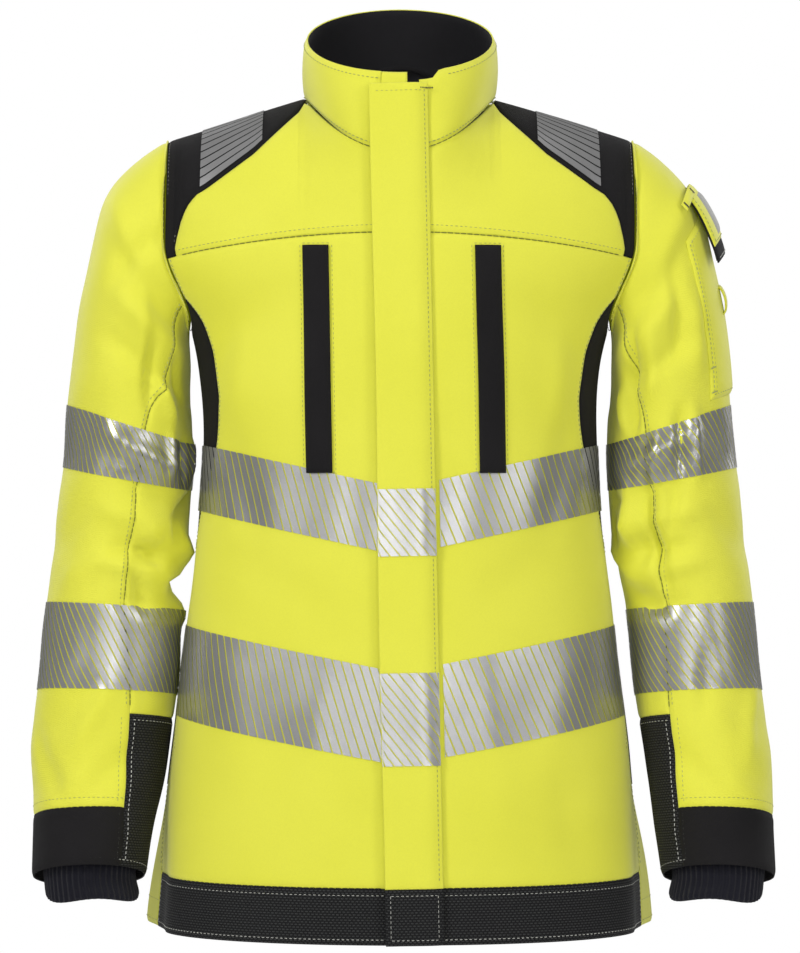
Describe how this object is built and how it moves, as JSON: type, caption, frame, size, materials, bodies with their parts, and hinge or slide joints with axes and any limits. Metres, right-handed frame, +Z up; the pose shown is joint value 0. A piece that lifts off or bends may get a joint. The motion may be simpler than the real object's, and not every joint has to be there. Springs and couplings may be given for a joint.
{
  "type": "high-visibility work jacket",
  "caption": "High-visibility work jacket with stand collar, storm flap over a full zip, black shoulder and side panels, segmented reflective tape and ribbed inner cuffs.",
  "frame": {"origin": "where a hook bears inside the top of the hanger loop at the centre back of the neck", "axes": "+Z up with the coat hanging, -Y out of the coat's front, +X towards the wearer's left sleeve"},
  "size_m": [0.5838, 0.2572, 0.7272],
  "materials": {
    "hi_vis_fabric": "matte woven twill, fluorescent yellow",
    "black_fabric": "matte woven twill, black",
    "black_ripstop": "hard-wearing grid-weave reinforcement, black",
    "knit_rib": "ribbed knit, dark navy",
    "black_lining": "smooth lining cloth, black",
    "reflective_tape": "segmented retroreflective film, silver grey",
    "zip_metal": "dark metal"
  },
  "bodies": {
    "root": {"front_panel_r": "hi_vis_fabric", "front_panel_l": "hi_vis_fabric", "front_yoke_r": "hi_vis_fabric", "front_yoke_l": "hi_vis_fabric", "back_yoke": "hi_vis_fabric", "back_panel": "hi_vis_fabric", "collar_outer": "hi_vis_fabric", "flap_seam_strip": "hi_vis_fabric", "shoulder_patch_r": "black_fabric", "shoulder_patch_l": "black_fabric", "side_panel_r": "black_fabric", "side_panel_l": "black_fabric", "hanger_loop": "black_fabric", "hem_band_r": "black_ripstop", "hem_band_l": "black_ripstop", "collar_lining": "black_lining", "lining_front_r": "black_lining", "lining_front_l": "black_lining", "lining_back": "black_lining", "side_pocket_bag_r": "black_lining", "side_pocket_bag_l": "black_lining", "zip_half_r": "black_lining", "zip_half_l": "black_lining", "chest_zip_r": "black_lining", "chest_zip_l": "black_lining", "chest_tape_front_r": "reflective_tape", "chest_tape_front_l": "reflective_tape", "chest_tape_back": "reflective_tape", "waist_tape_front_r": "reflective_tape", "waist_tape_front_l": "reflective_tape", "waist_tape_back": "reflective_tape", "shoulder_tape_r": "reflective_tape", "shoulder_tape_l": "reflective_tape", "zip_box": "zip_metal"},
    "flap": {"storm_flap": "hi_vis_fabric", "flap_hem": "black_ripstop", "flap_chest_tape": "reflective_tape", "flap_waist_tape": "reflective_tape"},
    "zip_runner": {"zip_slider": "zip_metal"},
    "chest_welt_r": {"chest_pocket_welt_r": "black_fabric"},
    "chest_runner_r": {"chest_zip_slider_r": "zip_metal"},
    "sleeve_r": {"sleeve_outer_r": "hi_vis_fabric", "sleeve_under_r": "hi_vis_fabric", "sleeve_inset_r": "black_ripstop", "cuff_band_r": "black_fabric", "knit_cuff_r": "knit_rib", "sleeve_tape_upper_r": "reflective_tape", "sleeve_tape_lower_r": "reflective_tape"},
    "chest_welt_l": {"chest_pocket_welt_l": "black_fabric"},
    "chest_runner_l": {"chest_zip_slider_l": "zip_metal"},
    "sleeve_l": {"sleeve_outer_l": "hi_vis_fabric", "sleeve_under_l": "hi_vis_fabric", "sleeve_inset_l": "black_ripstop", "cuff_band_l": "black_fabric", "knit_cuff_l": "knit_rib", "sleeve_tape_upper_l": "reflective_tape", "sleeve_tape_lower_l": "reflective_tape", "sleeve_pocket": "hi_vis_fabric", "pen_loop": "hi_vis_fabric"},
    "pocket_flap": {"sleeve_strap": "black_fabric"}
  },
  "joints": [
    {"name": "storm_flap_hinge", "type": "hinge", "parent": "root", "child": "flap", "pos_m": [0.02736, -0.15979, -0.35093], "axis": [-0.0187, 0.0632, 0.9978], "range_deg": [0, 110]},
    {"name": "main_zip", "type": "slide", "parent": "root", "child": "zip_runner", "axis": [0.0187, -0.0632, -0.9978], "range_m": [0, 0.6]},
    {"name": "chest_welt_hinge_r", "type": "hinge", "parent": "root", "child": "chest_welt_r", "pos_m": [-0.07333, -0.14449, -0.23551], "axis": [0.0188, -0.0456, -0.9988], "range_deg": [0, 35]},
    {"name": "chest_welt_hinge_l", "type": "hinge", "parent": "root", "child": "chest_welt_l", "pos_m": [0.07936, -0.14255, -0.23514], "axis": [-0.0188, 0.0334, 0.9993], "range_deg": [0, 35]},
    {"name": "chest_zip_r", "type": "slide", "parent": "root", "child": "chest_runner_r", "axis": [0.0188, -0.0456, -0.9988], "range_m": [0, 0.13]},
    {"name": "chest_zip_l", "type": "slide", "parent": "root", "child": "chest_runner_l", "axis": [0.0188, -0.0334, -0.9993], "range_m": [0, 0.13]},
    {"name": "sleeve_raise_r", "type": "hinge", "parent": "root", "child": "sleeve_r", "pos_m": [-0.182, -0.0415, -0.05988], "axis": [0, 1, 0], "range_deg": [0, 35]},
    {"name": "sleeve_raise_l", "type": "hinge", "parent": "root", "child": "sleeve_l", "pos_m": [0.182, -0.0415, -0.05988], "axis": [0, -1, 0], "range_deg": [0, 35]},
    {"name": "pocket_flap_lift", "type": "hinge", "parent": "sleeve_l", "child": "pocket_flap", "pos_m": [0.23191, -0.04581, -0.09411], "axis": [-0.0661, -0.9969, -0.0416], "range_deg": [0, 60]}
  ]
}
